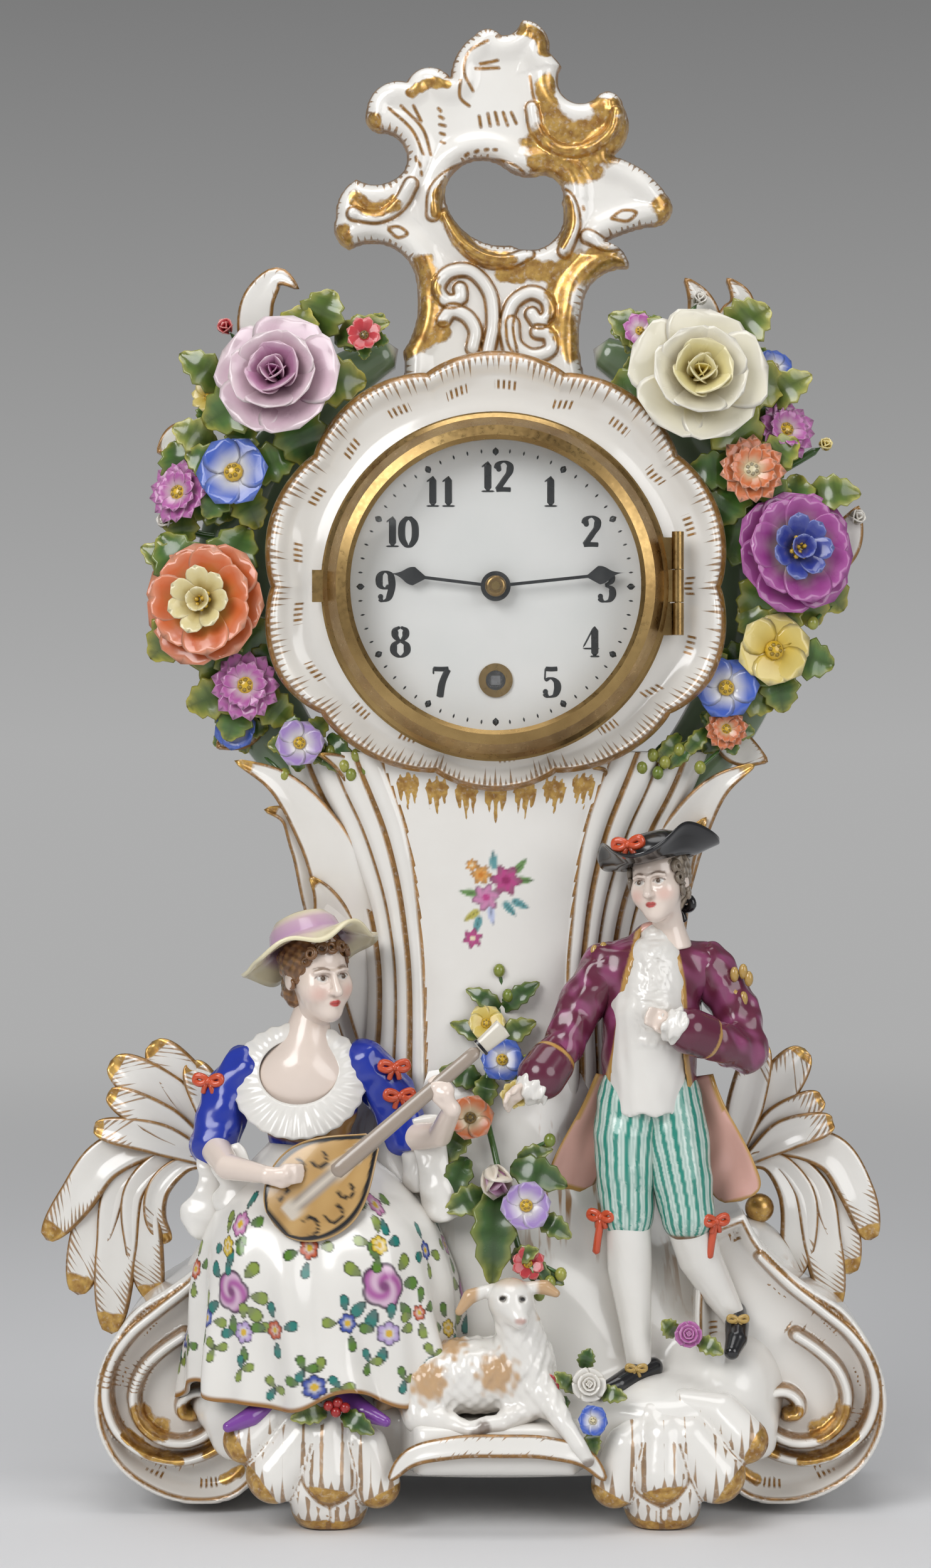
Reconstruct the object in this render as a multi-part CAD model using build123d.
"""Figural mantel clock: a rococo porcelain case with a seated lady, a standing gentleman and a lamb,
and a front-wound brass timepiece behind a hinged bezel.

Frame: +Z up, the dial faces -Y, the origin lies on the table under the middle of the part. Millimetres.
"""

from build123d import *

import math
import os

# Overall reach of the case, measured from the dial's axis and from the middle of the depth
LEFT_REACH = 132.0
RIGHT_REACH = 112.0
BASE_DEPTH = 106.0
AXIS_X = (LEFT_REACH - RIGHT_REACH) / 2
FRONT_Y = -BASE_DEPTH / 2
BACK_Y = BASE_DEPTH / 2
DIAL_Z = 260.0
CUT = 5.0

# Porcelain base
PLINTH_W = 150.0
PLINTH_BOTTOM = 16.0
PLINTH_TOP = 30.0
PLINTH_SETBACK = 5.0
WALL = 6.0
VOLUTE_R = 28.5
VOLUTE_DEPTH = 58.0
VOLUTE_FRONT_Y = -22.0
LEFT_VOLUTE_OUT = 86.0
RIGHT_VOLUTE_OUT = 82.0
VOLUTE_RIB = 3.0
VOLUTE_RELIEF = 3.0
VOLUTE_TURNS = 1.5
VOLUTE_START = 200.0
VOLUTE_STEPS = 12
VOLUTE_WIND_SHARE = 0.72
VOLUTE_INSET_SHARES = (0.2, 0.4)
VOLUTE_TAPER_SHARE = 0.5
FOOT_FLAT = 0.8
SHELL_FOOT_X = 45.0
SHELL_FOOT_LEAN = 4.0
SHELL_FOOT_R = 22.0
SHELL_TOP = 37.0
REAR_FOOT_X = 48.0
REAR_FOOT_R = 11.0
MOUND_TOP = 125.0
MOUND_RX = 74.0
MOUND_RY = 37.0
MOUND_Y = 12.0

# Porcelain pedestal and clock head
PEDESTAL_RX = 37.0
PEDESTAL_RY = 23.0
PEDESTAL_TOP = 214.0
DRUM_Y = 13.0
DRUM_DEPTH = 60.0
DRUM_R = 54.0
BORE_R = 45.0
CARTOUCHE_R = 66.0
CARTOUCHE_T = 10.0
CARTOUCHE_LOBES = 10
CARTOUCHE_BULGE_SHARE = 0.16
DISH_DEPTH = 3.0
CREST_W = 97.0
CREST_H = 112.0
CREST_T = 15.0
CREST_X = 2.6
CREST_BASE_UP = 52.0
LEAF_T = 9.0
LEAF_Y = 11.0
LEFT_LEAF_H = 88.0
RIGHT_LEAF_H = 85.0
LEFT_LEAF_FOOT = 46.0
RIGHT_LEAF_FOOT = 50.0
LEAF_ROOT_SHARE = 0.70
PEDESTAL_LEAF_T = 8.0
PEDESTAL_LEAF_W = 46.0
PEDESTAL_LEAF_H = 92.0
PEDESTAL_LEAF_OUT = 32.0
PEDESTAL_LEAF_FOOT = 122.0

# Applied flowers
GARLAND_R = 78.0
GARLAND_WING_R = 74.0
GARLAND_FRONT_Y = 0.0
GARLAND_T = 14.0
GARLAND_W = 24.0
FLOWER_R = 17.0
FLOWER_T = 18.0
FLOWER_EYE_R = 5.0
FLOWER_EYE_T = 2.5
SPRAY_FLOWER_R = 8.0
SPRAY_FLOWER_T = 5.0
SPRAY_SLOPE_SHARE = 0.24
BASE_FLOWER_R = 5.5
BASE_FLOWER_T = 4.0

# Figures, each measured in heights of its own head
LADY_HEAD = 24.0
LADY_X = -50.0
LADY_Y = -14.0
MAN_HEAD = 24.0
MAN_X = 47.0
MAN_Y = -21.0
LAMB_L = 46.0
LAMB_X = -5.0
LAMB_SETBACK = 16.0
LAMB_Y = FRONT_Y + LAMB_SETBACK
COAT_T = 2.6

# Brass bezel, glass and dial
BEZEL_R = 48.5
BEZEL_LIP_R = 40.5
BEZEL_DEPTH = 11.0
BEZEL_STEP = 2.6
GLASS_R = 42.2
GLASS_T = 1.6
GLASS_RISE = 5.4
GLASS_SEAT = 2.8
FLANGE_R = 49.2
FLANGE_T = 1.2
FLANGE_WALL_R = 44.4
FLANGE_WALL_T = 1.2
LEDGE_R = 36.0
LEDGE_T = 1.0
DIAL_R = 42.8
DIAL_T = 1.0
DIAL_SINK = 2.0
DIAL_HOLE_R = 3.6
DOOR_GAP = 0.2
HINGE_OUT = 2.6
HINGE_R = 1.7
HINGE_PIN_R = 0.9
HINGE_KNUCKLE = 9.0
HINGE_GAP = 0.25
HINGE_LEAF_T = 1.4
HINGE_PIN_HEAD = 1.5
TAB_W = 9.0
TAB_REACH = 3.0
TAB_T = 2.0
WINDING_DROP = 26.4
COLLET_R = 4.8
COLLET_WALL = 1.1
COLLET_LIP = 0.6
COLLET_RIM = 0.9

# Movement plates and their fixings
RUN = 0.05
FIT = 0.02
PLATE_R = 39.6
PLATE_T = 1.5
PLATE_GAP = 18.0
MOTION_GAP = 6.0
CAN_R = 41.0
CAN_T = 0.6
CAN_L = 42.0
PILLAR_R = 1.8
THREAD_R = 0.8
PILLAR_PCD_R = 35.0
PILLAR_ANGLES = (60, 130, 230, 330)
POST_PCD_R = 37.8
POST_R = 1.4
POST_ANGLES = (45, 135, 225, 315)
NUT_R = 2.4
NUT_T = 1.8
COVER_R = 50.0
COVER_T = 1.0
SCREW_R = 1.0
SCREW_PCD_R = 43.0
SCREW_HEAD_R = 2.6
SCREW_HEAD_T = 1.6
SCREW_ANGLES = (110, 290)
LUG_R = 1.9
LUG_L = 6.0

# Wheels: teeth, module and width of each wheel and pinion, and the radius of each arbor and pivot
GREAT_TEETH, GREAT_MODULE = 42, 0.6
INTER_PINION_TEETH, INTER_TEETH, INTER_MODULE = 12, 60, 0.5
CENTRE_PINION_TEETH, CENTRE_TEETH, CENTRE_MODULE = 12, 64, 0.4
THIRD_PINION_TEETH, THIRD_TEETH, THIRD_MODULE = 8, 60, 0.35
FOURTH_PINION_TEETH, FOURTH_TEETH, FOURTH_MODULE = 8, 70, 0.3
ESCAPE_PINION_TEETH, ESCAPE_TEETH, ESCAPE_R = 7, 15, 4.0
CANNON_TEETH, MINUTE_TEETH, MOTION_MODULE = 12, 36, 0.5
MINUTE_PINION_TEETH, HOUR_TEETH = 10, 40
WHEEL_T = 1.0
LAYER = 3.0
PINION_T = 2.2
CANNON_T = 1.4
ARBOR_R = 0.62
PIVOT_R = 0.4
CENTRE_ARBOR_R = 1.2
BARREL_R = 11.0
BARREL_L = 9.0
BARREL_WALL = 0.8
WIND_ARBOR_R = 2.0
WIND_PIVOT_R = 0.6
WIND_SQUARE = 2.6
RATCHET_R = 8.0
RATCHET_TEETH = 24
RATCHET_TOOTH = 1.0
RATCHET_LEAN_SHARE = 0.9
RATCHET_T = 1.4
CLICK_T = 1.4
CLICK_L = 9.0
CLICK_W = 3.0
CLICK_GAP = 0.35
CLICK_PIVOT_R = 1.1
THIRD_BEARING = 40.0
FOURTH_BEARING = -70.0
ESCAPE_BEARING = -90.0
MINUTE_BEARING = 75.0
SPRING_T = 0.5
SPRING_TURNS = 5
SPRING_H = 6.0
STRIP_POINTS = 8
ADDENDUM_SHARE = 0.85
DEDENDUM_SHARE = 1.25
TOOTH_SHARE = 0.40
TIP_SHARE = 0.14
ROOT_SHARE = 0.52
PINION_ADDENDUM_SHARE = 0.75
RIM_SHARE = 0.86
SPOKES = 4
SPOKE_W = 1.0

# Escapement: lever, balance and hairspring
LEVER_BEARING = -150.0
BALANCE_BEARING = -110.0
ESCAPE_ROOT_SHARE = 0.68
ESCAPE_TOOTH_SHARES = (0.55, 0.70)
LEVER_DISTANCE = 6.6
LEVER_T = 0.9
LEVER_W = 1.0
LEVER_SPAN_SHARE = 1.5
PALLET_ANGLES = (55, 48, 38)
PALLET_GAP = 0.8
PALLET_L = 1.6
BALANCE_DISTANCE = 10.5
BALANCE_R = 7.2
BALANCE_RIM = 1.0
BALANCE_T = 1.2
BALANCE_LIFT = 2.0
HAIRSPRING_R = 3.4
HAIRSPRING_T = 0.22
HAIRSPRING_TURNS = 4
HAIRSPRING_H = 0.5
COCK_W = 5.0
COCK_T = 1.5
COCK_LIFT = 6.0

# Hands
MINUTE_HAND_L = 36.5
HOUR_HAND_L = 30.5
HAND_T = 0.5
HAND_W = 0.9
SPADE_W = 5.2
SPADE_L = 10.5
SPADE_SWELL_SHARE = 0.30
SPADE_NECK_SHARES = (0.42, 0.32)
HAND_EYE_R = 4.2
MINUTE_ANGLE = 84.0
HOUR_ANGLE = 277.0
HAND_GAP = 1.2
HOUR_PIPE_R = 3.2
CANNON_PIPE_R = 2.2
HAND_NUT_R = 3.0
HAND_NUT_T = 2.2

# Planes along Y that the movement is stacked from
SEAT_Y = DRUM_Y - DRUM_DEPTH / 2
DIAL_BACK_Y = SEAT_Y + DIAL_SINK
PLATE_Y = DIAL_BACK_Y + LEDGE_T + MOTION_GAP
TRAIN_Y = PLATE_Y + PLATE_T
BACK_PLATE_Y = TRAIN_Y + PLATE_GAP
REAR_Y = BACK_PLATE_Y + PLATE_T

# Outlines: each row is x share, z share and the arc's rise as a share of its chord to the next row
CREST_OUTLINE_SHARES = [
    (-0.32, 0.00, 0.06), (-0.30, 0.15, 0.10), (-0.26, 0.31, 0.30), (-0.46, 0.41, -0.22),
    (-0.50, 0.49, -0.15), (-0.44, 0.59, 0.18), (-0.30, 0.61, 0.30), (-0.37, 0.71, -0.25),
    (-0.41, 0.76, -0.25), (-0.29, 0.84, -0.30), (-0.16, 0.85, -0.12), (-0.09, 0.96, -0.25),
    (-0.01, 0.96, 0.20), (0.05, 1.00, -0.25), (0.13, 0.92, 0.0), (0.17, 0.88, 0.45),
    (0.27, 0.80, -0.35), (0.35, 0.78, -0.20), (0.32, 0.65, -0.10), (0.48, 0.55, -0.35),
    (0.44, 0.47, 0.05), (0.30, 0.43, -0.18), (0.37, 0.36, 0.22), (0.23, 0.26, 0.10),
    (0.28, 0.00, 0.0),
]
CREST_HOLE_SHARES = [
    (-0.18, 0.55, -0.30), (0.00, 0.62, 0.12), (0.10, 0.60, -0.30), (0.17, 0.53, -0.35), (0.02, 0.42, -0.20),
]
PEDESTAL_LEAF_SHARES = [
    (0.00, 0.00, -0.05), (-0.10, 0.50, -0.10), (-0.45, 0.86, -0.05), (-1.00, 0.93, -0.30),
    (-0.86, 1.00, -0.12), (-0.20, 0.86, 0.0), (0.10, 0.50, 0.06), (0.30, 0.00, 0.0),
]
PLINTH_SHARES = [
    (-0.50, -0.20, 0.10), (-0.24, -0.50, 0.04), (0.24, -0.50, 0.10), (0.50, -0.20, 0.05),
    (0.50, 0.50, 0.0), (-0.50, 0.50, 0.05),
]

# Shoulder of a volute that climbs to the mound: shares of its radius inward and up from its centre
VOLUTE_SHOULDER_SHARES = [
    (-0.75, 0.66), (-0.51, 1.04), (-0.21, 1.24), (0.08, 1.46), (0.31, 1.69), (0.47, 1.98),
    (0.85, 1.79), (0.95, 1.14),
    (0.60, 0.50),
]

# Fronds of the leaf scrolls: x, z and radius at the root, then at the tip
LEFT_FROND_SHARES = [
    (0.45, 0.52, 0.10, 0.73, 0.59, 0.10), (0.73, 0.59, 0.10, 0.85, 0.50, 0.09),
    (0.68, 0.60, 0.07, 0.66, 0.89, 0.06), (0.72, 0.61, 0.07, 0.75, 0.94, 0.06),
    (0.75, 0.61, 0.07, 0.84, 0.89, 0.05), (0.77, 0.60, 0.07, 0.85, 0.78, 0.05),
    (0.78, 0.59, 0.07, 0.88, 0.67, 0.04), (0.86, 0.50, 0.08, 0.973, 0.31, 0.04),
    (0.85, 0.48, 0.09, 0.91, 0.13, 0.05), (0.83, 0.44, 0.08, 0.84, 0.05, 0.05),
    (0.81, 0.43, 0.07, 0.75, 0.14, 0.05), (0.79, 0.48, 0.06, 0.74, 0.29, 0.04),
]
RIGHT_FROND_SHARES = [
    (0.55, 0.59, 0.11, 0.76, 0.62, 0.09), (0.76, 0.62, 0.09, 0.88, 0.49, 0.08),
    (0.71, 0.64, 0.07, 0.69, 0.94, 0.05), (0.75, 0.64, 0.07, 0.80, 0.91, 0.06),
    (0.78, 0.62, 0.07, 0.84, 0.75, 0.05), (0.80, 0.59, 0.07, 0.88, 0.66, 0.04),
    (0.88, 0.49, 0.08, 0.964, 0.28, 0.047), (0.87, 0.47, 0.08, 0.91, 0.15, 0.05),
    (0.85, 0.45, 0.07, 0.88, 0.05, 0.05), (0.83, 0.45, 0.07, 0.75, 0.13, 0.05),
    (0.80, 0.49, 0.06, 0.74, 0.34, 0.05),
]

# Lofts: a row is height, half width and half depth; a figure's row has its centre's x and y after the height
MOUND_SHARES = [(0.0, 1.0, 1.0), (0.30, 0.95, 0.93), (0.66, 0.84, 0.78), (1.0, 0.50, 0.62)]
PEDESTAL_SHARES = [
    (0.0, 1.08, 1.05), (0.34, 1.07, 1.0), (0.55, 1.20, 1.0), (0.76, 1.46, 1.03), (0.92, 1.67, 1.08),
    (1.0, 1.74, 1.12),
]
SHELL_FOOT_SHARES = [(0.0, 0.50, 0.36), (0.30, 0.92, 0.62), (0.72, 1.0, 0.72), (1.0, 0.78, 0.60)]
LADY_SKIRT_SHARES = [
    (0.12, 0.04, -0.66, 1.62, 0.90), (0.85, 0.06, -0.66, 1.66, 0.96), (1.65, 0.10, -0.62, 1.46, 0.92),
    (2.48, 0.10, -0.36, 1.10, 0.72), (3.06, 0.00, 0.02, 0.50, 0.38),
]
LADY_BODICE_SHARES = [
    (3.06, 0.00, 0.02, 0.46, 0.35), (3.72, -0.02, 0.00, 0.60, 0.45), (4.16, -0.05, 0.02, 0.76, 0.35),
    (4.34, -0.05, 0.04, 0.28, 0.25), (4.58, -0.03, -0.02, 0.20, 0.20),
]
MAN_TORSO_SHARES = [
    (3.10, 0.04, 0.00, 0.62, 0.46), (3.60, -0.02, 0.00, 0.54, 0.42), (4.45, -0.02, 0.02, 0.66, 0.47),
    (5.22, 0.04, 0.06, 0.72, 0.37), (5.46, 0.04, 0.06, 0.27, 0.25), (5.72, 0.00, 0.02, 0.21, 0.21),
]
MAN_COAT_SHARES = [
    (2.10, 0.22, 0.34, 0.98, 0.40), (3.10, 0.12, 0.22, 0.84, 0.46), (3.60, 0.06, 0.10, 0.72, 0.50),
    (4.45, 0.06, 0.08, 0.82, 0.52), (5.12, 0.06, 0.08, 0.84, 0.42),
]
COAT_OPENING_SHARES = (-0.58, 0.50, 0.18, -0.40)

# Limbs: each row is x, y, z and radius, in heads of its figure
LADY_RIGHT_ARM_SHARES = [
    (-0.78, 0.02, 4.02, 0.24), (-1.04, -0.20, 3.10, 0.26), (-0.86, -0.62, 2.98, 0.22),
    (0.02, -1.02, 3.10, 0.15),
]
LADY_LEFT_ARM_SHARES = [
    (0.66, 0.02, 4.02, 0.24), (1.00, -0.10, 3.45, 0.27), (1.20, -0.50, 3.40, 0.22), (1.28, -0.86, 4.02, 0.15),
]
MAN_RIGHT_ARM_SHARES = [
    (-0.62, 0.05, 5.06, 0.26), (-0.98, -0.18, 4.40, 0.27), (-1.36, -0.42, 3.92, 0.25),
    (-1.66, -0.58, 3.66, 0.15),
]
MAN_LEFT_ARM_SHARES = [
    (0.76, 0.05, 5.06, 0.26), (1.02, -0.10, 4.30, 0.28), (0.86, -0.50, 4.02, 0.25), (0.02, -0.66, 4.44, 0.15),
]
MAN_RIGHT_LEG_SHARES = [
    (-0.16, -0.20, 0.42, 0.17), (-0.14, -0.18, 1.00, 0.25), (-0.10, -0.12, 1.75, 0.23),
]
MAN_LEFT_LEG_SHARES = [
    (0.82, 0.12, 0.98, 0.17), (0.76, 0.06, 1.36, 0.24), (0.62, -0.14, 1.80, 0.23),
]
MAN_RIGHT_THIGH_SHARES = [(-0.10, -0.12, 1.75, 0.34), (-0.14, -0.04, 2.40, 0.40), (-0.12, 0.0, 3.10, 0.42)]
MAN_LEFT_THIGH_SHARES = [(0.62, -0.14, 1.72, 0.34), (0.46, -0.04, 2.40, 0.40), (0.24, 0.0, 3.10, 0.42)]
SHOE_LENGTH_SHARE = 0.95
SHOE_WIDTH_SHARE = 0.32
SHOE_HEIGHT_SHARE = 0.26
HEAD_WIDTH_SHARE = 0.37
HEAD_DEPTH_SHARE = 0.43
HEAD_HEIGHT_SHARE = 0.52
LADY_HEAD_SHARES = (0.0, -0.10, 5.02)
LADY_HAT_SHARES = (-0.02, 0.06, 5.28)
LADY_HAT_PROFILE_SHARES = [
    (0.0, 0.34), (0.36, 0.26), (0.50, 0.06), (0.80, -0.06), (0.80, -0.14), (0.46, -0.06), (0.0, -0.06),
]
LADY_HAT_TILT = 14.0
MAN_HEAD_SHARES = (-0.08, -0.10, 6.20)
MAN_HAT_SHARES = (-0.04, -0.02, 6.42)
MAN_HAT_OUTLINE_SHARES = [(-0.86, -0.30, 0.18), (0.30, -0.62, 0.18), (0.86, 0.40, 0.18)]
MAN_HAT_BRIM_SHARE = 0.34
MAN_HAT_CROWN_SHARE = 0.46
MAN_HAT_RISE_SHARE = 0.50
MAN_HAT_TILT = 8.0

# Mandolin: measured in heads of the lady
MANDOLIN_PLACE_SHARES = (0.00, -1.02, 2.80)
MANDOLIN_TILT = 38.0
MANDOLIN_BODY_SHARES = [(-0.74, 0.06), (-0.58, 0.36), (-0.20, 0.52), (0.20, 0.46), (0.56, 0.24), (0.80, 0.11)]
MANDOLIN_DEPTH_SHARE = 0.66
MANDOLIN_NECK_SHARES = (1.20, 0.14, 0.12)
MANDOLIN_HEAD_SHARES = (0.50, 0.22, 0.10)

# Lamb: measured in lengths of its body
LAMB_BODY_SHARES = [
    (-0.50, 0.0, 0.30, 0.10), (-0.30, 0.0, 0.32, 0.27), (0.05, 0.0, 0.33, 0.25), (0.36, 0.0, 0.36, 0.20),
    (0.52, 0.0, 0.38, 0.10),
]
LAMB_NECK_SHARES = [(0.26, -0.02, 0.38, 0.20), (0.30, -0.10, 0.58, 0.14), (0.28, -0.14, 0.68, 0.13)]
LAMB_SINK_SHARE = 0.06
LAMB_HEAD_SHARES = (0.28, -0.20, 0.74, 0.15, 0.20, 0.14)
LAMB_LEG_SHARES = [
    [(0.40, -0.12, 0.16, 0.09), (0.55, -0.26, 0.07, 0.07)],
    [(-0.36, -0.20, 0.14, 0.12), (0.00, -0.28, 0.06, 0.07)],
]

# Flowers: angle from twelve o'clock, distance and size as shares, and the number of petals
GARLAND_SHARES = [
    (45, 0.98, 1.00, 5), (27, 1.02, 0.30, 6), (60, 1.16, 0.34, 5), (67, 0.90, 0.46, 6), (74, 1.16, 0.52, 5),
    (92, 1.03, 1.00, 8), (112, 0.93, 0.52, 5), (120, 1.12, 0.36, 6), (130, 0.90, 0.40, 5),
]
SPRAY_SHARES = [
    (-0.10, 0.62, 0.8, 5), (0.30, 0.38, 1.0, 6), (-0.20, 0.16, 0.9, 5), (0.40, -0.16, 0.9, 5),
    (0.30, -0.52, 0.7, 5),
]
SPRAY_Z = 110.0
SPRAY_H = 60.0
SPRAY_X = 4.0
BASE_FLOWER_SHARES = [(0.29, -0.64, 1.0), (0.27, -0.84, 0.9), (-0.40, -0.74, 1.0)]
LOBE_BULGE_SHARE = 0.42
PETAL_ROOT_SHARE = 0.80
GARLAND_ARC = (27, 132)
GARLAND_END = 6.0


def turned(distance, degrees):
    """X and Z of a point at a distance from an axis, at an angle clockwise from twelve o'clock."""
    angle = math.radians(degrees)
    return distance * math.sin(angle), distance * math.cos(angle)


def bearing(start, end):
    """Angle clockwise from twelve o'clock of the line from one X, Z point to another."""
    return math.degrees(math.atan2(end[0] - start[0], end[1] - start[1]))


def bulged(points):
    """Closed wire of arcs and lines: each point carries its arc's rise as a share of the chord."""
    edges = []
    for (x, y, rise), (next_x, next_y, _) in zip(points, points[1:] + points[:1]):
        chord = math.dist((x, y), (next_x, next_y))
        if rise:
            edges.append(SagittaArc((x, y), (next_x, next_y), -rise * chord))
        else:
            edges.append(Line((x, y), (next_x, next_y)))
    return Wire(edges)


def upright(points, back_y, thickness):
    """A plate whose outline lies in XZ, standing forward of back_y."""
    return Pos(0, back_y, 0) * extrude(Plane.XZ * make_face(bulged(points)), thickness)


def disc(radius, front, back, x=AXIS_X, z=DIAL_Z):
    """Cylinder along Y between two planes."""
    return Pos(x, (front + back) / 2, z) * Rot(90, 0, 0) * Cylinder(radius, back - front)


def ring(outer, inner, front, back, x=AXIS_X, z=DIAL_Z):
    return disc(outer, front, back, x, z) - disc(inner, front - CUT, back + CUT, x, z)


def spun(profile):
    """Turn a profile of radius and Y points about the dial's axis."""
    face = make_face(Polyline([(radius, y) for radius, y in profile], close=True))
    return Pos(AXIS_X, 0, DIAL_Z) * revolve(face, Axis.Y)


def ellipses(rows):
    """Loft through level ellipses given as z, x, y, half width and half depth."""
    return loft([Pos(x, y, z) * Ellipse(rx, ry) for z, x, y, rx, ry in rows])


def limb(rows):
    """Loft through circles square to a path of x, y, z and radius rows."""
    points = [Vector(x, y, z) for x, y, z, _ in rows]
    sections = []
    for i, (point, row) in enumerate(zip(points, rows)):
        along = points[min(i + 1, len(points) - 1)] - points[max(i - 1, 0)]
        sections.append(Plane(point, z_dir=along) * Circle(row[3]))
    return loft(sections)


def ball(x, y, z, rx, ry, rz):
    return Pos(x, y, z) * scale(Sphere(1), by=(rx, ry, rz))


def solid_of(shape):
    """The largest solid of a cut shape, so that no crumb of it is kept."""
    pieces = shape if isinstance(shape, list) else [shape]
    return max((one for piece in pieces for one in piece.solids()), key=lambda one: one.volume)


def cut_by(shape, *others):
    """What is left of a shape once its neighbours are taken out of it."""
    for other in others:
        shape = solid_of(shape - other)
    return solid_of(shape)


def rosette(radius, thickness, petals, eye_r, eye_t):
    """Flower facing -Y at the origin: a ring of round petals about a raised eye."""
    root = radius * PETAL_ROOT_SHARE
    step = 360 / petals
    points = [(*turned(root, step * i), -LOBE_BULGE_SHARE) for i in range(petals)]
    flower = upright(points, 0, thickness)
    return flower + Pos(0, -thickness - eye_t / 2, 0) * Rot(90, 0, 0) * Cylinder(eye_r, eye_t)


# Porcelain case


def make_plinth():
    width, depth = PLINTH_W, BASE_DEPTH - PLINTH_SETBACK
    points = [(AXIS_X + x * width, y * depth + PLINTH_SETBACK / 2, rise) for x, y, rise in PLINTH_SHARES]
    return Pos(0, 0, PLINTH_BOTTOM) * extrude(make_face(bulged(points)), PLINTH_TOP - PLINTH_BOTTOM)


def spiral_rib(x, hand):
    """Raised rib on a volute's face that winds in towards its eye, one turn and a half."""
    outer, inner = [], []
    start_inset, end_inset = VOLUTE_INSET_SHARES
    for i in range(VOLUTE_STEPS + 1):
        share = i / VOLUTE_STEPS
        radius = VOLUTE_R * (1 - VOLUTE_WIND_SHARE * share) - VOLUTE_RIB * (start_inset + end_inset * share)
        angle = hand * (VOLUTE_START + 360 * VOLUTE_TURNS * share)
        outer.append(turned(radius, angle))
        inner.append(turned(radius - VOLUTE_RIB * (1 - VOLUTE_TAPER_SHARE * share), angle))
    outline = Spline(outer) + Line(outer[-1], inner[-1]) + Spline(inner[::-1]) + Line(inner[0], outer[0])
    rib = extrude(Plane.XZ * make_face(outline), VOLUTE_RELIEF)
    return Pos(x, VOLUTE_FRONT_Y, VOLUTE_R - FOOT_FLAT) * rib


def volute_shoulder(x, hand, centre_z):
    points = []
    for inward, up in VOLUTE_SHOULDER_SHARES:
        points.append((x - hand * inward * VOLUTE_R, centre_z + up * VOLUTE_R, 0))
    return upright(points, VOLUTE_FRONT_Y + VOLUTE_DEPTH, VOLUTE_DEPTH)


def make_volute_feet(*neighbours):
    feet = []
    for hand, out in ((-1, LEFT_VOLUTE_OUT), (1, RIGHT_VOLUTE_OUT)):
        x = AXIS_X + hand * out
        centre_z = VOLUTE_R - FOOT_FLAT
        drum = disc(VOLUTE_R, VOLUTE_FRONT_Y, VOLUTE_FRONT_Y + VOLUTE_DEPTH, x, centre_z)
        drum = chamfer(drum.faces().sort_by(Axis.Y)[0].edges(), VOLUTE_RELIEF / 2)
        foot = drum + volute_shoulder(x, hand, centre_z) + spiral_rib(x, hand)
        floor = Pos(x, VOLUTE_FRONT_Y, -VOLUTE_R) * Box(VOLUTE_R * 4, VOLUTE_DEPTH * 4, VOLUTE_R * 2)
        feet.append(cut_by(foot, floor, *neighbours))
    return feet


def make_feet(plinth):
    """Two shell feet whose fullest row reaches the front of the base, and two plain ones behind."""
    feet = []
    fullest = max(ry for _, _, ry in SHELL_FOOT_SHARES) * SHELL_FOOT_R
    for hand in (-1, 1):
        x = AXIS_X + hand * SHELL_FOOT_X
        rows = []
        for z, rx, ry in SHELL_FOOT_SHARES:
            y = FRONT_Y + fullest + SHELL_FOOT_LEAN * (1 - z)
            rows.append((z * SHELL_TOP, x, y, rx * SHELL_FOOT_R, ry * SHELL_FOOT_R))
        feet.append(cut_by(ellipses(rows), plinth))
    for hand in (-1, 1):
        y = BACK_Y - REAR_FOOT_R - PLINTH_SETBACK
        place = Pos(AXIS_X + hand * REAR_FOOT_X, y, PLINTH_BOTTOM / 2)
        feet.append(place * Cylinder(REAR_FOOT_R, PLINTH_BOTTOM))
    return feet


def mound_rows(inset):
    height = MOUND_TOP - PLINTH_TOP
    return [
        (PLINTH_TOP + z * height, AXIS_X, MOUND_Y, rx * MOUND_RX - inset, ry * MOUND_RY - inset)
        for z, rx, ry in MOUND_SHARES
    ]


def pedestal_rows(inset):
    height = PEDESTAL_TOP - MOUND_TOP
    return [
        (MOUND_TOP + z * height, AXIS_X, MOUND_Y, rx * PEDESTAL_RX - inset, ry * PEDESTAL_RY - inset)
        for z, rx, ry in PEDESTAL_SHARES
    ]


def make_rock_mound():
    return ellipses(mound_rows(0)) - ellipses(mound_rows(WALL))


def make_pedestal():
    drum = disc(DRUM_R, SEAT_Y - CUT, SEAT_Y + DRUM_DEPTH + CUT)
    return cut_by(ellipses(pedestal_rows(0)) - ellipses(pedestal_rows(WALL)), drum, cartouche_block())


def cartouche_points():
    step = 360 / CARTOUCHE_LOBES
    rim = CARTOUCHE_R * math.cos(math.radians(step / 2))
    return [
        (AXIS_X + x, DIAL_Z + z, -CARTOUCHE_BULGE_SHARE)
        for x, z in (turned(rim, step * (i + 0.5)) for i in range(CARTOUCHE_LOBES))
    ]


def cartouche_block():
    return upright(cartouche_points(), SEAT_Y + CARTOUCHE_T, CARTOUCHE_T)


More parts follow.
